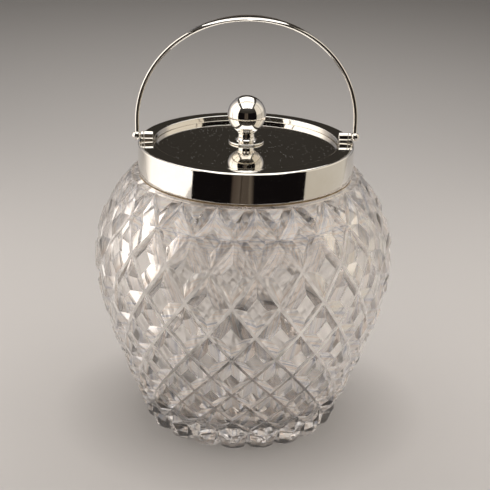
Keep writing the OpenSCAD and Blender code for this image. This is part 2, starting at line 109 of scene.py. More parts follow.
# Rounding of polished metal edges in metres
COLLAR_BAND_ROUND = 0.0003
COLLAR_TOP_ROUND = 0.0004
LID_ROUND = 0.0003
KNOB_FOOT_ROUND = 0.0003
EAR_ROUND = 0.0003
SPACER_ROUND = 0.00025

MIX_SHARE, MIX_FIRST, MIX_SECOND = 0, 6, 7  # inputs of a Mix node that mixes colours
MIX_RESULT = 2


# ---------------------------------------------------------------- settings

class BiscuitJarGlass(bpy.types.PropertyGroup):
    """Finish of the cut glass."""
    colour: FloatVectorProperty(
        name="Glass colour", description="Colour of the clear glass",
        subtype="COLOR", size=3, min=0.0, max=1.0, default=(1.0, 0.985, 0.968))
    ripple: FloatProperty(
        name="Ripple", description="Depth of the soft waves that hand polishing leaves in the facets",
        default=0.000006, min=0.0, max=0.001, precision=6, unit="LENGTH")
    wheel_marks: FloatProperty(
        name="Wheel marks",
        description="Depth of the fine lines that the cutting wheel leaves along each slope",
        default=0.000016, min=0.0, max=0.001, precision=6, unit="LENGTH")
    edge_width: FloatProperty(
        name="Edge width", description="Width of the narrow polished flat on each edge of the cuts",
        default=0.0001, min=0.0, max=0.001, precision=5, unit="LENGTH")
    inner_haze: FloatProperty(
        name="Inner haze", description="Roughness of the inside, which softens what shows through the glass",
        default=0.28, min=0.0, max=0.5)


class BiscuitJarSilver(bpy.types.PropertyGroup):
    """Finish of the plated metal."""
    colour: FloatVectorProperty(
        name="Silver colour", description="Colour of the clean plate",
        subtype="COLOR", size=3, min=0.0, max=1.0, default=(0.87, 0.85, 0.81))
    tarnish: FloatVectorProperty(
        name="Tarnish colour", description="Colour of the plate where it has begun to yellow",
        subtype="COLOR", size=3, min=0.0, max=1.0, default=(0.74, 0.69, 0.6))
    haze: FloatProperty(
        name="Haze", description="Roughness of the polished plate",
        default=0.035, min=0.0, max=0.5)


class BiscuitJarStage(bpy.types.PropertyGroup):
    """Camera, floor and lights."""
    elevation: FloatProperty(
        name="Camera elevation", description="Angle at which the camera looks down",
        subtype="ANGLE", default=math.radians(20.89))
    distance: FloatProperty(
        name="Camera distance", description="Distance from the camera to the point it looks at",
        unit="LENGTH", default=0.739, min=0.2)
    roll: FloatProperty(
        name="Camera roll", description="Turn of the camera about its own axis",
        subtype="ANGLE", default=math.radians(1.4))
    aim_height: FloatProperty(
        name="Aim height", description="Height of the point that the camera looks at",
        unit="LENGTH", default=0.09357)
    aim_side: FloatProperty(
        name="Aim side", description="Sideways place of the point that the camera looks at",
        unit="LENGTH", default=0.00071)
    focal_pixels: FloatProperty(
        name="Focal length in pixels", description="Focal length for a picture of 490 pixels a side",
        default=1411.0, min=100.0)
    turn: FloatProperty(
        name="Camera turn", description="Turn of the camera and the whole stage about the jar's axis",
        subtype="ANGLE", default=math.radians(-3.29))
    glass_depth: IntProperty(
        name="Glass depth", description="How many times light may turn inside the glass",
        default=24, min=4, max=64)


# ---------------------------------------------------------------- node trees

def add_node(tree, kind, spot, **values):
    """Adds a node. A value goes to the input of that name, or to the property."""
    node = tree.nodes.new(kind)
    node.location = spot
    for name, value in values.items():
        label = name.replace("_", " ")
        if label in node.inputs:
            node.inputs[label].default_value = value
        else:
            setattr(node, name, value)
    return node


def wire(tree, start, output, end, entry):
    """Joins an output socket to an input socket, each by name or number."""
    tree.links.new(start.outputs[output], end.inputs[entry])


def add_math(tree, operation, spot, a=None, b=None, clamp=False):
    """Adds a Math node. Numbers are set, and (node, output) pairs are wired."""
    node = tree.nodes.new("ShaderNodeMath")
    node.operation = operation
    node.use_clamp = clamp
    node.location = spot
    for index, value in enumerate((a, b)):
        if value is None:
            continue
        if isinstance(value, tuple):
            tree.links.new(value[0].outputs[value[1]], node.inputs[index])
        else:
            node.inputs[index].default_value = value
    return node


def add_ramp(tree, spot, stops):
    """Adds a Color Ramp with stops of (place, colour)."""
    node = tree.nodes.new("ShaderNodeValToRGB")
    node.location = spot
    elements = node.color_ramp.elements
    while len(elements) < len(stops):
        elements.new(0.5)
    for element, (place, colour) in zip(elements, stops):
        element.position = place
        element.color = (*colour, 1.0)
    return node


def mix_colours(tree, spot, share, first, second):
    """Mixes two colours, each given as (node, output), by a share given the same way."""
    mix = add_node(tree, "ShaderNodeMix", spot, data_type="RGBA")
    for (node, output), entry in zip((share, first, second), (MIX_SHARE, MIX_FIRST, MIX_SECOND)):
        tree.links.new(node.outputs[output], mix.inputs[entry])
    return mix


def grey(value):
    """A colour that is one grey."""
    return (value, value, value)


def new_group(name, inputs, outputs):
    """Starts a shader node group with its sockets, and gives it with both end nodes."""
    group = bpy.data.node_groups.new(name, "ShaderNodeTree")
    for label, kind, value in inputs:
        socket = group.interface.new_socket(name=label, in_out="INPUT", socket_type=kind)
        socket.default_value = value
    for label, kind in outputs:
        group.interface.new_socket(name=label, in_out="OUTPUT", socket_type=kind)
    start = group.nodes.new("NodeGroupInput")
    start.location = (-900, 0)
    end = group.nodes.new("NodeGroupOutput")
    end.location = (900, 0)
    return group, start, end


def hand_polish_group():
    """Fine rubbing marks in two directions, and soft patches of haze."""
    group, start, end = new_group(
        "Hand Polish",
        [("Scale", "NodeSocketFloat", 1.0), ("Haze", "NodeSocketFloat", 0.04),
         ("Spread", "NodeSocketFloat", 0.04)],
        [("Roughness", "NodeSocketFloat"), ("Height", "NodeSocketFloat")])
    coord = add_node(group, "ShaderNodeTexCoord", (-900, 300))
    sized = add_node(group, "ShaderNodeVectorMath", (-700, 200), operation="SCALE")
    wire(group, coord, "Object", sized, 0)
    wire(group, start, "Scale", sized, "Scale")
    marks = []
    rubbings = (((0.3, 0.2, 0.9), (60, 1500, 1500), 300), ((1.1, 0.5, -0.6), (1700, 90, 1700), 0))
    for turn, stretch, height in rubbings:
        mapping = add_node(group, "ShaderNodeMapping", (-500, height), Rotation=turn, Scale=stretch)
        noise = add_node(group, "ShaderNodeTexNoise", (-300, height), Scale=1.0, Detail=2.0, Roughness=0.6)
        line = add_ramp(group, (-100, height), [(0.56, grey(0.0)), (0.64, grey(1.0))])
        wire(group, sized, "Vector", mapping, "Vector")
        wire(group, mapping, "Vector", noise, "Vector")
        wire(group, noise, "Fac", line, "Fac")
        marks.append(line)
    both = add_math(group, "ADD", (200, 150), (marks[0], "Color"), (marks[1], "Color"))
    patches = add_node(group, "ShaderNodeTexNoise", (-300, -350), Scale=70.0, Detail=4.0, Roughness=0.55)
    wire(group, sized, "Vector", patches, "Vector")
    patch_mask = add_ramp(group, (-100, -350), [(0.35, grey(0.0)), (0.75, grey(1.0))])
    wire(group, patches, "Fac", patch_mask, "Fac")
    share = add_math(group, "MULTIPLY", (200, -50), (both, 0), 0.25)
    total = add_math(group, "ADD", (380, -150), (share, 0), (patch_mask, "Color"))
    spread = add_math(group, "MULTIPLY", (540, -150), (total, 0), (start, "Spread"))
    rough = add_math(group, "ADD", (700, -150), (spread, 0), (start, "Haze"))
    wire(group, rough, 0, end, "Roughness")
    wire(group, both, 0, end, "Height")
    return group


def tone_drift_group():
    """Two tones of one finish, mixed in soft clouds."""
    group, start, end = new_group(
        "Tone Drift",
        [("Clean", "NodeSocketColor", (0.9, 0.9, 0.9, 1.0)),
         ("Dull", "NodeSocketColor", (0.6, 0.6, 0.6, 1.0)),
         ("Scale", "NodeSocketFloat", 40.0), ("Amount", "NodeSocketFloat", 0.5)],
        [("Color", "NodeSocketColor"), ("Mask", "NodeSocketFloat")])
    coord = add_node(group, "ShaderNodeTexCoord", (-900, 300))
    noise = add_node(group, "ShaderNodeTexNoise", (-500, 200), Detail=5.0, Roughness=0.6)
    wire(group, coord, "Object", noise, "Vector")
    wire(group, start, "Scale", noise, "Scale")
    mask = add_ramp(group, (-250, 200), [(0.4, grey(0.0)), (0.7, grey(1.0))])
    wire(group, noise, "Fac", mask, "Fac")
    share = add_math(group, "MULTIPLY", (100, 100), (mask, "Color"), (start, "Amount"))
    mix = mix_colours(group, (400, 100), (share, 0), (start, "Clean"), (start, "Dull"))
    wire(group, mix, MIX_RESULT, end, "Color")
    wire(group, share, 0, end, "Mask")
    return group


def turned_lines_group():
    """Fine rings about the upright axis, as a lathe leaves them."""
    group, start, end = new_group(
        "Turned Lines",
        [("Pitch", "NodeSocketFloat", 0.0004), ("Wander", "NodeSocketFloat", 0.3)],
        [("Height", "NodeSocketFloat")])
    coord = add_node(group, "ShaderNodeTexCoord", (-900, 300))
    parts = add_node(group, "ShaderNodeSeparateXYZ", (-700, 300))
    wire(group, coord, "Object", parts, "Vector")
    x_square = add_math(group, "MULTIPLY", (-500, 400), (parts, "X"), (parts, "X"))
    y_square = add_math(group, "MULTIPLY", (-500, 250), (parts, "Y"), (parts, "Y"))
    square = add_math(group, "ADD", (-300, 330), (x_square, 0), (y_square, 0))
    radius = add_math(group, "SQRT", (-150, 330), (square, 0))
    path = add_math(group, "ADD", (0, 300), (radius, 0), (parts, "Z"))
    noise = add_node(group, "ShaderNodeTexNoise", (-300, 0), Scale=60.0, Detail=1.0)
    wire(group, coord, "Object", noise, "Vector")
    wander = add_math(group, "MULTIPLY", (0, 50), (noise, "Fac"), (start, "Wander"))
    turns = add_math(group, "DIVIDE", (200, 250), (path, 0), (start, "Pitch"))
    moved = add_math(group, "ADD", (400, 200), (turns, 0), (wander, 0))
    whole = add_math(group, "MULTIPLY", (550, 200), (moved, 0), math.tau)
    wave = add_math(group, "SINE", (700, 200), (whole, 0))
    wire(group, wave, 0, end, "Height")
    return group


def fallen_dust_group():
    """Specks and lint that lie on faces that look up."""
    group, start, end = new_group(
        "Fallen Dust",
        [("Scale", "NodeSocketFloat", 900.0), ("Size", "NodeSocketFloat", 0.12)],
        [("Mask", "NodeSocketFloat")])
    coord = add_node(group, "ShaderNodeTexCoord", (-900, 300))
    cells = add_node(group, "ShaderNodeTexVoronoi", (-500, 300))
    wire(group, coord, "Object", cells, "Vector")
    wire(group, start, "Scale", cells, "Scale")
    speck = add_math(group, "LESS_THAN", (-250, 300), (cells, "Distance"), (start, "Size"))
    pick = add_node(group, "ShaderNodeSeparateColor", (-250, 100))
    wire(group, cells, "Color", pick, "Color")
    rare = add_math(group, "GREATER_THAN", (0, 100), (pick, "Red"), 0.72)
    geometry = add_node(group, "ShaderNodeNewGeometry", (-500, -150))
    facing = add_node(group, "ShaderNodeSeparateXYZ", (-250, -150))
    wire(group, geometry, "Normal", facing, "Vector")
    up = add_math(group, "GREATER_THAN", (0, -150), (facing, "Z"), 0.8)
    first = add_math(group, "MULTIPLY", (250, 200), (speck, 0), (rare, 0))
    mask = add_math(group, "MULTIPLY", (500, 100), (first, 0), (up, 0))
    wire(group, mask, 0, end, "Mask")
    return group


def glass_ripple_group():
    """Soft waves that the polishing leaves in every facet, and faint finger haze."""
    group, start, end = new_group(
        "Glass Ripple",
        [("Scale", "NodeSocketFloat", 160.0)],
        [("Height", "NodeSocketFloat"), ("Haze", "NodeSocketFloat")])
    coord = add_node(group, "ShaderNodeTexCoord", (-900, 300))
    waves = add_node(group, "ShaderNodeTexNoise", (-500, 300), Detail=1.5, Roughness=0.4)
    wire(group, coord, "Object", waves, "Vector")
    wire(group, start, "Scale", waves, "Scale")
    wire(group, waves, "Fac", end, "Height")
    haze = add_node(group, "ShaderNodeTexNoise", (-500, -100), Scale=35.0, Detail=5.0, Roughness=0.6)
    wire(group, coord, "Object", haze, "Vector")
    soft = add_ramp(group, (-200, -100), [(0.45, grey(0.0)), (0.8, grey(1.0))])
    wire(group, haze, "Fac", soft, "Fac")
    share = add_math(group, "MULTIPLY", (100, -100), (soft, "Color"), 0.01)
    wire(group, share, 0, end, "Haze")
    return group


def wheel_marks_and_glints_group():
    """Fine lines along each cut slope, a mask of the faces that look inward, and painted colour glints of
    blue and peach along the outer slopes, standing in for light that the prisms split.
    """
    group, start, end = new_group(
        "Wheel Marks And Glints",
        [("Pitch", "NodeSocketFloat", 0.0005)],
        [("Height", "NodeSocketFloat"), ("Inside", "NodeSocketFloat"), ("Tint", "NodeSocketColor")])
    coord = add_node(group, "ShaderNodeTexCoord", (-1500, 200))
    parts = add_node(group, "ShaderNodeSeparateXYZ", (-1350, 300))
    wire(group, coord, "Object", parts, "Vector")
    flat = add_node(group, "ShaderNodeCombineXYZ", (-1200, 300))
    wire(group, parts, "X", flat, "X")
    wire(group, parts, "Y", flat, "Y")
    outward = add_node(group, "ShaderNodeVectorMath", (-1050, 300), operation="NORMALIZE")
    wire(group, flat, "Vector", outward, 0)
    geometry = add_node(group, "ShaderNodeNewGeometry", (-1200, -100))
    facing = add_node(group, "ShaderNodeVectorMath", (-850, 400), operation="DOT_PRODUCT")
    wire(group, geometry, "Normal", facing, 0)
    wire(group, outward, "Vector", facing, 1)
    inside = add_math(group, "LESS_THAN", (-600, 400), (facing, "Value"), -0.1)
    wire(group, inside, 0, end, "Inside")
    along = add_node(group, "ShaderNodeVectorMath", (-850, 100), operation="CROSS_PRODUCT")
    wire(group, geometry, "Normal", along, 0)
    wire(group, outward, "Vector", along, 1)
    slant = add_node(group, "ShaderNodeVectorMath", (-650, 0), operation="LENGTH")
    wire(group, along, "Vector", slant, 0)
    line = add_node(group, "ShaderNodeVectorMath", (-650, 150), operation="NORMALIZE")
    wire(group, along, "Vector", line, 0)
    across = add_node(group, "ShaderNodeVectorMath", (-450, 100), operation="CROSS_PRODUCT")
    wire(group, geometry, "Normal", across, 0)
    wire(group, line, "Vector", across, 1)
    places = []
    for axis, height in ((across, 150), (line, -50)):
        place = add_node(group, "ShaderNodeVectorMath", (-250, height), operation="DOT_PRODUCT")
        wire(group, axis, "Vector", place, 0)
        wire(group, coord, "Object", place, 1)
        places.append(add_math(group, "DIVIDE", (-50, height), (place, "Value"), (start, "Pitch")))
    slow = add_math(group, "MULTIPLY", (100, -50), (places[1], 0), 0.03)
    spot = add_node(group, "ShaderNodeCombineXYZ", (250, 100))
    wire(group, places[0], 0, spot, "X")
    wire(group, slow, 0, spot, "Y")
    noise = add_node(group, "ShaderNodeTexNoise", (400, 100), Scale=1.0, Detail=2.0, Roughness=0.6)
    wire(group, spot, "Vector", noise, "Vector")
    steep = add_ramp(group, (250, -150), [(0.25, grey(0.0)), (0.45, grey(1.0))])
    wire(group, slant, "Value", steep, "Fac")
    marks = add_math(group, "MULTIPLY", (700, 100), (noise, "Fac"), (steep, "Color"))
    wire(group, marks, 0, end, "Height")
    # Painted glints: blue and peach colours along the wheel marks of the outer cut slopes, in place of the
    # colours that the prisms split from light.
    glint_colours = add_ramp(group, (550, -100), [
        (0.36, (0.42, 0.46, 0.58)), (0.44, (0.85, 0.86, 0.93)), (0.48, (1.0, 1.0, 1.0)),
        (0.54, (1.0, 0.97, 0.93)), (0.58, (0.97, 0.83, 0.72)), (0.66, (0.8, 0.66, 0.58))])
    wire(group, noise, "Fac", glint_colours, "Fac")
    outside = add_math(group, "SUBTRACT", (-400, 400), 1.0, (inside, 0))
    cut = add_math(group, "MULTIPLY", (550, -300), (steep, "Color"), (outside, 0))
    clear = add_node(group, "ShaderNodeRGB", (550, -450))
    clear.outputs["Color"].default_value = (1.0, 1.0, 1.0, 1.0)
    glint_mix = mix_colours(group, (750, -200), (cut, 0), (clear, "Color"), (glint_colours, "Color"))
    wire(group, glint_mix, MIX_RESULT, end, "Tint")
    return group


GROUP_MAKERS = {
    "Hand Polish": hand_polish_group,
    "Tone Drift": tone_drift_group,
    "Turned Lines": turned_lines_group,
    "Fallen Dust": fallen_dust_group,
    "Glass Ripple": glass_ripple_group,
    "Wheel Marks And Glints": wheel_marks_and_glints_group,
}


def add_group(tree, name, spot, **values):
    """Places a shared node group, which is built once, with this material's own values."""
    group = bpy.data.node_groups.get(name) or GROUP_MAKERS[name]()
    node = tree.nodes.new("ShaderNodeGroup")
    node.node_tree = group
    node.location = spot
    for label, value in values.items():
        node.inputs[label.replace("_", " ")].default_value = value
    return node


def new_finish(name, **constants):
    """Starts a material and sets what is the same all over on the shader itself."""
    finish = bpy.data.materials.new(name)
    finish.use_nodes = True
    tree = finish.node_tree
    shader = tree.nodes["Principled BSDF"]
    shader.location = (300, 0)
    for label, value in constants.items():
        shader.inputs[label.replace("_", " ")].default_value = value
    return finish, tree, shader


def add_bump(tree, shader, source, output, depth, strength=1.0, spot=(50, -400)):
    """Lets a height push the surface's normal by a real depth."""
    bump = add_node(tree, "ShaderNodeBump", spot, Strength=strength, Distance=depth)
    wire(tree, source, output, bump, "Height")
    wire(tree, bump, "Normal", shader, "Normal")
    return bump


# ---------------------------------------------------------------- finishes

def plate_finish(name, settings, drift, haze, spread):
    """Silver plate with rubbing marks and a little yellow tarnish."""
    finish, tree, shader = new_finish(name, Metallic=1.0)
    tone = add_group(tree, "Tone Drift", (-300, 200), Clean=(*settings.colour, 1.0),
                     Dull=(*settings.tarnish, 1.0), Scale=38.0, Amount=drift)
    polish = add_group(tree, "Hand Polish", (-300, -100), Scale=1.0, Haze=haze, Spread=spread)
    wire(tree, tone, "Color", shader, "Base Color")
    wire(tree, polish, "Roughness", shader, "Roughness")
    add_bump(tree, shader, polish, "Height", 0.0000012, 0.6)
    return finish


def silver_plate_finish():
    """The plate of collar, knob and bail."""
    settings = bpy.context.scene.biscuit_jar_silver
    return plate_finish("silver_plate_polished", settings, 0.35, settings.haze, 0.03)


def lid_silver_finish():
    """The lid's plate: lathe rings under the polish, rubbing marks, and fallen dust."""
    settings = bpy.context.scene.biscuit_jar_silver
    finish, tree, shader = new_finish("lid_silver_rubbed", Metallic=1.0)
    tone = add_group(tree, "Tone Drift", (-600, 200), Clean=(*settings.colour, 1.0),
                     Dull=(*settings.tarnish, 1.0), Scale=30.0, Amount=0.4)
    polish = add_group(tree, "Hand Polish", (-600, -100), Scale=1.0, Haze=settings.haze, Spread=0.03)
    dust = add_group(tree, "Fallen Dust", (-600, -350), Scale=900.0, Size=0.13)
    rings = add_group(tree, "Turned Lines", (-600, -550), Pitch=0.0009, Wander=0.6)
    colour = add_node(tree, "ShaderNodeMix", (-200, 250), data_type="RGBA")
    wire(tree, dust, "Mask", colour, MIX_SHARE)
    wire(tree, tone, "Color", colour, MIX_FIRST)
    colour.inputs[MIX_SECOND].default_value = (0.8, 0.78, 0.75, 1.0)
    wire(tree, colour, MIX_RESULT, shader, "Base Color")
    speck = add_math(tree, "MULTIPLY", (-200, -300), (dust, "Mask"), 0.5)
    rough = add_math(tree, "ADD", (0, -200), (polish, "Roughness"), (speck, 0))
    wire(tree, rough, 0, shader, "Roughness")
    low = add_math(tree, "MULTIPLY", (-200, -550), (rings, "Height"), 0.15)
    both = add_math(tree, "ADD", (0, -450), (polish, "Height"), (low, 0))
    add_bump(tree, shader, both, 0, 0.0000015, 0.6, (120, -400))
    return finish


def cut_glass_finish():
    """Clear heavy glass: plain transmission, soft waves and wheel marks in the facets, painted colour glints
    on the cut slopes, a hazy inside.
    """
    settings = bpy.context.scene.biscuit_jar_glass
    finish, tree, shader = new_finish("cut_glass_polished", Metallic=0.0, Transmission_Weight=1.0, IOR=1.61)
    tone = add_group(tree, "Tone Drift", (-300, 200), Clean=(*settings.colour, 1.0),
                     Dull=(0.985, 0.962, 0.94, 1.0), Scale=14.0, Amount=0.6)
    ripple = add_group(tree, "Glass Ripple", (-300, -100), Scale=160.0)
    marks = add_group(tree, "Wheel Marks And Glints", (-600, -300), Pitch=0.0015)
    # The glass's own colour times the painted colour glints of the cut slopes.
    glass_and_glint_colour = add_node(tree, "ShaderNodeVectorMath", (-50, 200), operation="MULTIPLY")
    wire(tree, tone, "Color", glass_and_glint_colour, 0)
    wire(tree, marks, "Tint", glass_and_glint_colour, 1)
    wire(tree, glass_and_glint_colour, "Vector", shader, "Base Color")
    dulled = add_math(tree, "MULTIPLY", (-300, -300), (marks, "Inside"), settings.inner_haze)
    haze = add_math(tree, "ADD", (-100, -200), (dulled, 0), (ripple, "Haze"))
    wire(tree, haze, 0, shader, "Roughness")
    waves = add_bump(tree, shader, ripple, "Height", settings.ripple, 1.0)
    lines = add_bump(tree, shader, marks, "Height", settings.wheel_marks, 1.0, (-150, -450))
    wire(tree, lines, "Normal", waves, "Normal")
    wire(tree, waves, "Normal", shader, "Normal")
    return finish


def plaster_finish():
    """Aged cement between glass and collar: grainy, brown and gold."""
    finish, tree, shader = new_finish("plaster_aged")
    tone = add_group(tree, "Tone Drift", (-300, 200), Clean=(0.46, 0.33, 0.17, 1.0),
                     Dull=(0.2, 0.12, 0.06, 1.0), Scale=350.0, Amount=0.8)
    coord = add_node(tree, "ShaderNodeTexCoord", (-700, -200))
    grain = add_node(tree, "ShaderNodeTexNoise", (-500, -200), Scale=1800.0, Detail=4.0)
    wire(tree, coord, "Object", grain, "Vector")
    rough = add_ramp(tree, (-200, -200), [(0.3, grey(0.75)), (0.7, grey(0.98))])
    wire(tree, grain, "Fac", rough, "Fac")
    wire(tree, rough, "Color", shader, "Roughness")
    wire(tree, tone, "Color", shader, "Base Color")
    add_bump(tree, shader, grain, "Fac", 0.00008)
    return finish


def turned_metal_finish(name, clean, dull, pitch, haze):
    """Plain turned metal for what lies under the lid and in the pivots."""
    finish, tree, shader = new_finish(name, Metallic=1.0)
    tone = add_group(tree, "Tone Drift", (-300, 200), Clean=(*clean, 1.0), Dull=(*dull, 1.0),
                     Scale=300.0, Amount=0.7)
    polish = add_group(tree, "Hand Polish", (-300, -100), Scale=1.0, Haze=haze, Spread=0.12)
    rings = add_group(tree, "Turned Lines", (-300, -350), Pitch=pitch, Wander=0.2)
    wire(tree, tone, "Color", shader, "Base Color")
    wire(tree, polish, "Roughness", shader, "Roughness")
    add_bump(tree, shader, rings, "Height", 0.000008)
    return finish


def fastener_brass_finish():
    """The brass of stud, washer and nut."""
    return turned_metal_finish("brass_turned", (0.78, 0.6, 0.32), (0.5, 0.34, 0.16), 0.0003, 0.22)


def pin_steel_finish():
    """The steel of the pivot pins."""
    return turned_metal_finish("steel_turned", (0.62, 0.61, 0.59), (0.42, 0.4, 0.38), 0.0002, 0.25)


FINISH_MAKERS = {
    "silver_plate": silver_plate_finish,
    "lid_silver": lid_silver_finish,
    "cut_glass": cut_glass_finish,
    "plaster": plaster_finish,
    "fastener_brass": fastener_brass_finish,
    "pin_steel": pin_steel_finish,
}
FINISHES = {}


def finish_for(slot):
    """The finish of a material slot, built once."""
    if slot not in FINISHES:
        FINISHES[slot] = FINISH_MAKERS[slot]()
    return FINISHES[slot]


def dress_node(name, slot):
    """Gives a CAD node its finish and leaves its shape alone."""
    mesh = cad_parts[name].data
    mesh.materials.clear()
    mesh.materials.append(finish_for(slot))


# ---------------------------------------------------------------- shaping helpers

def let_go():
    """Deselects everything, so that the next operator acts on its own piece alone."""
    if bpy.context.mode != "OBJECT":
        bpy.ops.object.mode_set(mode="OBJECT")
    bpy.ops.object.select_all(action="DESELECT")


def hold(piece):
    """Selects one piece and makes it the active one."""
    let_go()
    piece.select_set(True)
    bpy.context.view_layer.objects.active = piece


def copy_node(name, label):
    """Copies a CAD node to a new piece, joins its loose triangles and drops its stored normals."""
    piece = bpy.data.objects.new(label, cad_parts[name].data.copy())
    bpy.context.scene.collection.objects.link(piece)
    hold(piece)
    bpy.ops.object.mode_set(mode="EDIT")
    bpy.ops.mesh.select_all(action="SELECT")
    bpy.ops.mesh.remove_doubles(threshold=MERGE_DISTANCE)
    bpy.ops.mesh.customdata_custom_splitnormals_clear()
    bpy.ops.object.mode_set(mode="OBJECT")
    return piece


def soften_edges(piece, width, steps, sharper_than, wanted):
    """Bevels the edges that are sharper than an angle and for which wanted(middle, facing) is true."""
    hold(piece)
    bpy.ops.object.mode_set(mode="EDIT")
    bpy.ops.mesh.select_mode(type="EDGE")
    bpy.ops.mesh.select_all(action="DESELECT")
    mesh = bmesh.from_edit_mesh(piece.data)
    for edge in mesh.edges:
        middle = (edge.verts[0].co + edge.verts[1].co) / 2
        facing = sum((face.normal for face in edge.link_faces), Vector())
        if edge.calc_face_angle(0.0) > sharper_than and wanted(middle, facing):
            edge.select_set(True)
    bmesh.update_edit_mesh(piece.data)
    bpy.ops.mesh.bevel(offset=width, segments=steps, affect="EDGES", clamp_overlap=True)
    bpy.ops.object.mode_set(mode="OBJECT")


def weigh_normals(piece):
    """Keeps the large faces' shading straight up to the rounded edges."""
    hold(piece)
    even = piece.modifiers.new("even", "WEIGHTED_NORMAL")
    even.mode = "FACE_AREA"
    even.weight = 100
    even.keep_sharp = True
    bpy.ops.object.modifier_apply(modifier="even")


def join_body(piece, node, body, slot):
    """Lets a finished piece stand for its CAD node: finish, body and material slot."""
    piece.data.materials.clear()
    piece.data.materials.append(finish_for(slot))
    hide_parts(node)
    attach(piece, body)


def any_edge(middle, facing):
    """Picks every edge."""
    return True


def upper_edge(middle, facing):
    """Picks the edges that face up."""
    return facing.z > 0


def lower_edge(middle, facing):
    """Picks the edges that face down."""
    return facing.z < 0


def soft_copy(node, body, slot, width, steps, wanted=any_edge):
    """A copy of a metal node with its sharp edges rounded, as polishing leaves them."""
    piece = copy_node(node, f"{node}_polished")
    soften_edges(piece, width, steps, METAL_EDGE_ANGLE, wanted)
    bpy.ops.object.shade_smooth_by_angle(angle=METAL_SMOOTH_ANGLE)
    weigh_normals(piece)
    join_body(piece, node, body, slot)


# ---------------------------------------------------------------- operators

class BISCUIT_JAR_OT_cut_glass(bpy.types.Operator):
    """Soften the edges of the cuts and finish the diamond-cut glass bowl"""
    bl_idname = "biscuit_jar.cut_glass"
    bl_label = "Cut Glass Bowl"

    def execute(self, context):
        settings = context.scene.biscuit_jar_glass
        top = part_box("collar_band")[0].z
        bowl = copy_node("glass_body", "glass_bowl")

        def on_the_cuts(middle, facing):
            return CUTS_START < middle.z < top and middle.xy.dot(facing.xy) > 0

        soften_edges(bowl, settings.edge_width, 1, CUT_EDGE_ANGLE, on_the_cuts)
        bpy.ops.object.shade_smooth_by_angle(angle=FACET_ANGLE)
        join_body(bowl, "glass_body", "jar", "cut_glass")
        # The bowl casts no shadow; a painted shadow in the floor's colour stands in for it.
        bowl.visible_shadow = False
        return {"FINISHED"}


class BISCUIT_JAR_OT_plaster_line(bpy.types.Operator):
    """Finish the plaster that holds the collar on the glass"""
    bl_idname = "biscuit_jar.plaster_line"
    bl_label = "Plaster Line"

    def execute(self, context):
        dress_node("plaster_bed", "plaster")
        return {"FINISHED"}


class BISCUIT_JAR_OT_collar(bpy.types.Operator):
    """Finish the plated collar band and its crowned flange"""
    bl_idname = "biscuit_jar.collar"
    bl_label = "Plated Collar"

    def execute(self, context):
        soft_copy("collar_band", "jar", "silver_plate", COLLAR_BAND_ROUND, 2, lower_edge)
        soft_copy("collar_top", "jar", "silver_plate", COLLAR_TOP_ROUND, 3, upper_edge)
        return {"FINISHED"}


class BISCUIT_JAR_OT_lid(bpy.types.Operator):
    """Finish the domed lid and its skirt"""
    bl_idname = "biscuit_jar.lid"
    bl_label = "Domed Lid"

    def execute(self, context):
        soft_copy("lid_plate", "lid", "lid_silver", LID_ROUND, 3, upper_edge)
        dress_node("lid_skirt", "lid_silver")
        return {"FINISHED"}


class BISCUIT_JAR_OT_knob(bpy.types.Operator):
    """Finish the knob, and the stud, washer and nut that hold it"""
    bl_idname = "biscuit_jar.knob"
    bl_label = "Ball Knob"

    def execute(self, context):
        soft_copy("knob_foot", "lid", "silver_plate", KNOB_FOOT_ROUND, 3)
        for name in ("knob_stem", "knob_ball"):
            dress_node(name, "silver_plate")
        for name in ("knob_stud", "knob_washer", "knob_nut"):
            dress_node(name, "fastener_brass")
        return {"FINISHED"}


class BISCUIT_JAR_OT_pivots(bpy.types.Operator):
    """Finish the ears, spacers, bosses and pins that the bail swings on"""
    bl_idname = "biscuit_jar.pivots"
    bl_label = "Bail Pivots"

    def execute(self, context):
        for side in ("left", "right"):
            soft_copy(f"{side}_ear", "jar", "silver_plate", EAR_ROUND, 3)
            soft_copy(f"{side}_spacer", "bail", "silver_plate", SPACER_ROUND, 3)
            dress_node(f"{side}_boss", "silver_plate")
            dress_node(f"{side}_pivot_pin", "pin_steel")
        return {"FINISHED"}


class BISCUIT_JAR_OT_bail(bpy.types.Operator):
    """Round the arched bail handle to one smooth sweep and finish it"""
    bl_idname = "biscuit_jar.bail"
    bl_label = "Bail Handle"

    def execute(self, context):
        bail = copy_node("bail_handle", "bail_arch")
        bpy.ops.object.mode_set(mode="EDIT")
        bpy.ops.mesh.select_all(action="SELECT")
        bpy.ops.mesh.tris_convert_to_quads(
            face_threshold=BAIL_SMOOTH_ANGLE, shape_threshold=BAIL_SMOOTH_ANGLE)
        bpy.ops.object.mode_set(mode="OBJECT")
        bpy.ops.object.shade_smooth_by_angle(angle=BAIL_SMOOTH_ANGLE)
        join_body(bail, "bail_handle", "bail", "silver_plate")
        return {"FINISHED"}


class BISCUIT_JAR_OT_stage(bpy.types.Operator):
    """Lay the sweep, hang the lights and set up the camera"""
    bl_idname = "biscuit_jar.stage"
    bl_label = "Stage"

    def execute(self, context):
        settings = context.scene.biscuit_jar_stage
        lay_sweep(settings)
        hang_lights(settings)
        stand_cards(settings)
        stand_flag(settings)
        paint_world()
        set_camera(settings)
        deepen_glass(settings)
        return {"FINISHED"}


# ---------------------------------------------------------------- stage

def turn_with_camera(piece, settings):
    """Turns a piece of the stage with the camera, about the jar's axis."""
    piece.rotation_euler.z = settings.turn


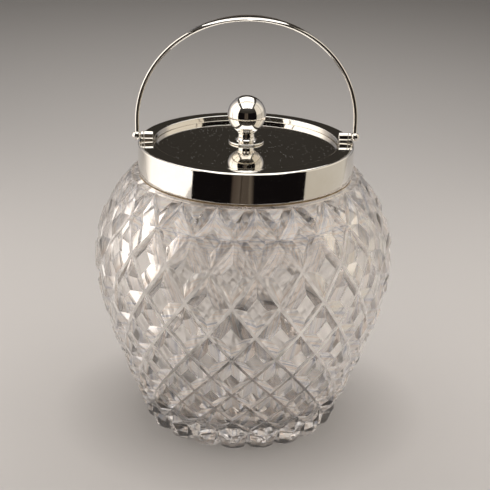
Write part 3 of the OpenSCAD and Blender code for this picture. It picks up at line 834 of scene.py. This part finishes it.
def tone_along(tree, axis, tones):
    """A colour that runs along one axis of Object coordinates, from (distance, colour) stops."""
    start = tones[0][0]
    length = tones[-1][0] - start
    coord = add_node(tree, "ShaderNodeTexCoord", (-900, 0))
    parts = add_node(tree, "ShaderNodeSeparateXYZ", (-700, 0))
    wire(tree, coord, "Object", parts, "Vector")
    moved = add_math(tree, "SUBTRACT", (-550, 0), (parts, axis), start)
    share = add_math(tree, "DIVIDE", (-420, 0), (moved, 0), length, clamp=True)
    ramp = add_ramp(tree, (-300, 0), [((place - start) / length, colour) for place, colour in tones])
    wire(tree, share, 0, ramp, "Fac")
    return ramp


def lay_sweep(settings):
    """A wide plain pale floor with a painted shadow under the glass, which casts none: the floor's colour is
    deeper in tone right under it.
    """
    let_go()
    bpy.ops.mesh.primitive_circle_add(vertices=96, radius=SWEEP_RADIUS, fill_type="NGON", location=(0, 0, 0))
    floor = bpy.context.object
    floor.name = "sweep_floor"
    finish, tree, shader = new_finish("sweep_paper_and_painted_shadow", Roughness=0.9, Specular_IOR_Level=0.1)
    coord = add_node(tree, "ShaderNodeTexCoord", (-700, 0))
    near = add_node(tree, "ShaderNodeVectorMath", (-500, 0), operation="LENGTH")
    wire(tree, coord, "Object", near, "Vector")
    # The sweep's colour falls to a painted shadow near the jar's axis.
    tone = add_ramp(tree, (-300, 0), [
        (radius, tuple(share * value for value in SWEEP_TONE)) for radius, share in PAINTED_SHADOW_RINGS])
    wire(tree, near, "Value", tone, "Fac")
    wire(tree, tone, "Color", shader, "Base Color")
    floor.data.materials.append(finish)
    turn_with_camera(floor, settings)


def hang_panel(settings, name, centre, aim, size, power, colour, mirrored):
    """A soft lamp that the camera doesn't see. Mirrors and glass see it only if it is mirrored."""
    lamp = bpy.data.lights.new(name, "AREA")
    lamp.shape = "RECTANGLE"
    lamp.size, lamp.size_y = size
    lamp.energy = power
    lamp.color = colour
    panel = bpy.data.objects.new(name, lamp)
    bpy.context.scene.collection.objects.link(panel)
    stage_turn = Matrix.Rotation(settings.turn, 3, "Z")
    place = stage_turn @ Vector(centre)
    panel.location = place
    panel.rotation_euler = (stage_turn @ Vector(aim) - place).to_track_quat("-Z", "Y").to_euler()
    panel.visible_camera = False
    panel.visible_glossy = mirrored
    panel.visible_transmission = mirrored


def hang_lights(settings):
    """Two upright panels that light the jar from its sides, and a wide one over it."""
    for panel in PANELS:
        hang_panel(settings, *panel)


def glow_only(name, piece, axis, tones, strength=1.0):
    """Gives a card that only mirrors and glass see, with no light of its own on anything else."""
    finish, tree, shader = new_finish(
        name, Roughness=1.0, Base_Color=(0.0, 0.0, 0.0, 1.0),
        Specular_IOR_Level=0.0, Emission_Strength=strength)
    wire(tree, tone_along(tree, axis, tones), "Color", shader, "Emission Color")
    piece.data.materials.append(finish)
    piece.visible_camera = False
    piece.visible_shadow = False
    piece.visible_diffuse = False


def stand_cards(settings):
    """Upright cards along each side of the jar, brightest at the front."""
    for name, side, low, high, tones, strength in CARDS:
        let_go()
        near, far = tones[0][0], tones[-1][0]
        bpy.ops.mesh.primitive_plane_add(
            size=1.0, location=(side, (near + far) / 2, (low + high) / 2), rotation=(0, math.radians(90), 0))
        card = bpy.context.object
        card.name = name
        card.scale = (high - low, far - near, 1.0)
        bpy.ops.object.transform_apply(location=True, rotation=True, scale=True)
        glow_only(f"{name}_glow", card, "Y", tones, strength)
        turn_with_camera(card, settings)


def stand_flag(settings):
    """A curved dark card in front, as the dark room behind the camera."""
    let_go()
    bpy.ops.mesh.primitive_cylinder_add(
        vertices=180, radius=FLAG_RADIUS, depth=FLAG_HEIGHT, end_fill_type="NOTHING",
        location=(0, 0, FLAG_FOOT + FLAG_HEIGHT / 2))
    flag = bpy.context.object
    flag.name = "dark_flag"
    bpy.ops.object.transform_apply(location=True, rotation=True, scale=True)
    bpy.ops.object.mode_set(mode="EDIT")
    for turn in FLAG_ENDS:
        side = math.copysign(1, turn)
        bpy.ops.mesh.select_all(action="SELECT")
        bpy.ops.mesh.bisect(
            plane_co=(0, 0, 0), plane_no=(math.cos(turn) * side, math.sin(turn) * side, 0), clear_outer=True)
    bpy.ops.object.mode_set(mode="OBJECT")
    glow_only("flag_cloth", flag, "X", FLAG_TONES)
    turn_with_camera(flag, settings)


def deepen_glass(settings):
    """Lets light turn often enough inside the deep-cut glass."""
    cycles = bpy.context.scene.cycles
    cycles.max_bounces = settings.glass_depth
    cycles.transmission_bounces = settings.glass_depth
    cycles.glossy_bounces = settings.glass_depth


def paint_world():
    """A dim glow near the horizon and overhead. The camera sees one plain dark tone instead."""
    world = bpy.data.worlds.new("studio_air")
    bpy.context.scene.world = world
    world.use_nodes = True
    tree = world.node_tree
    background = tree.nodes["Background"]
    coord = add_node(tree, "ShaderNodeTexCoord", (-900, 0))
    parts = add_node(tree, "ShaderNodeSeparateXYZ", (-700, 0))
    wire(tree, coord, "Generated", parts, "Vector")
    ramp = add_ramp(tree, (-400, 0), AIR_GLOW)
    wire(tree, parts, "Z", ramp, "Fac")
    path = add_node(tree, "ShaderNodeLightPath", (-400, 300))
    plain = add_node(tree, "ShaderNodeRGB", (-400, -300))
    plain.outputs["Color"].default_value = (*AIR_TONE, 1.0)
    seen = mix_colours(tree, (-150, 0), (path, "Is Camera Ray"), (ramp, "Color"), (plain, "Color"))
    wire(tree, seen, MIX_RESULT, background, "Color")


def set_camera(settings):
    """The camera looks at the jar's middle from the front and a little above."""
    camera = bpy.data.cameras.new("jar_camera")
    camera.sensor_width = 36.0
    camera.lens = settings.focal_pixels / FRAME_SIDE * camera.sensor_width
    camera.clip_start = 0.01
    camera.clip_end = 50.0
    eye = bpy.data.objects.new("jar_camera", camera)
    bpy.context.scene.collection.objects.link(eye)
    angle = settings.elevation
    stage_turn = Matrix.Rotation(settings.turn, 3, "Z")
    ahead = stage_turn @ Vector((0, math.cos(angle), -math.sin(angle)))
    above = stage_turn @ Vector((0, math.sin(angle), math.cos(angle)))
    side = stage_turn @ Vector((1, 0, 0))
    roll = settings.roll
    right = side * math.cos(roll) + above * math.sin(roll)
    up = above * math.cos(roll) - side * math.sin(roll)
    aim = stage_turn @ Vector((settings.aim_side, 0, settings.aim_height))
    place = Matrix((right, up, -ahead)).transposed().to_4x4()
    place.translation = aim - ahead * settings.distance
    eye.matrix_world = place
    bpy.context.scene.camera = eye
    bpy.context.scene.view_settings.view_transform = "Standard"


# ---------------------------------------------------------------- panel and registration

class BISCUIT_JAR_PT_sidebar(bpy.types.Panel):
    """Lists the jar's pieces and their settings"""
    bl_idname = "BISCUIT_JAR_PT_sidebar"
    bl_label = "Biscuit Jar"
    bl_space_type = "VIEW_3D"
    bl_region_type = "UI"
    bl_category = "Biscuit Jar"

    def draw(self, context):
        layout = self.layout
        scene = context.scene
        for title, group in (("Glass", scene.biscuit_jar_glass), ("Silver", scene.biscuit_jar_silver),
                             ("Stage", scene.biscuit_jar_stage)):
            box = layout.box()
            box.label(text=title)
            for name in group.__annotations__:
                box.prop(group, name)
        for operator in OPERATORS:
            layout.operator(operator.bl_idname)


OPERATORS = (
    BISCUIT_JAR_OT_cut_glass,
    BISCUIT_JAR_OT_plaster_line,
    BISCUIT_JAR_OT_collar,
    BISCUIT_JAR_OT_lid,
    BISCUIT_JAR_OT_knob,
    BISCUIT_JAR_OT_pivots,
    BISCUIT_JAR_OT_bail,
    BISCUIT_JAR_OT_stage,
)
SETTINGS = {
    "biscuit_jar_glass": BiscuitJarGlass,
    "biscuit_jar_silver": BiscuitJarSilver,
    "biscuit_jar_stage": BiscuitJarStage,
}


def register():
    for group in SETTINGS.values():
        bpy.utils.register_class(group)
    for operator in OPERATORS:
        bpy.utils.register_class(operator)
    bpy.utils.register_class(BISCUIT_JAR_PT_sidebar)
    for name, group in SETTINGS.items():
        setattr(bpy.types.Scene, name, PointerProperty(type=group))


def unregister():
    for name in SETTINGS:
        delattr(bpy.types.Scene, name)
    bpy.utils.unregister_class(BISCUIT_JAR_PT_sidebar)
    for operator in reversed(OPERATORS):
        bpy.utils.unregister_class(operator)
    for group in SETTINGS.values():
        bpy.utils.unregister_class(group)


def main():
    register()
    bpy.ops.biscuit_jar.cut_glass()
    bpy.ops.biscuit_jar.plaster_line()
    bpy.ops.biscuit_jar.collar()
    bpy.ops.biscuit_jar.lid()
    bpy.ops.biscuit_jar.knob()
    bpy.ops.biscuit_jar.pivots()
    bpy.ops.biscuit_jar.bail()
    bpy.ops.biscuit_jar.stage()


if __name__ == "__main__":
    main()
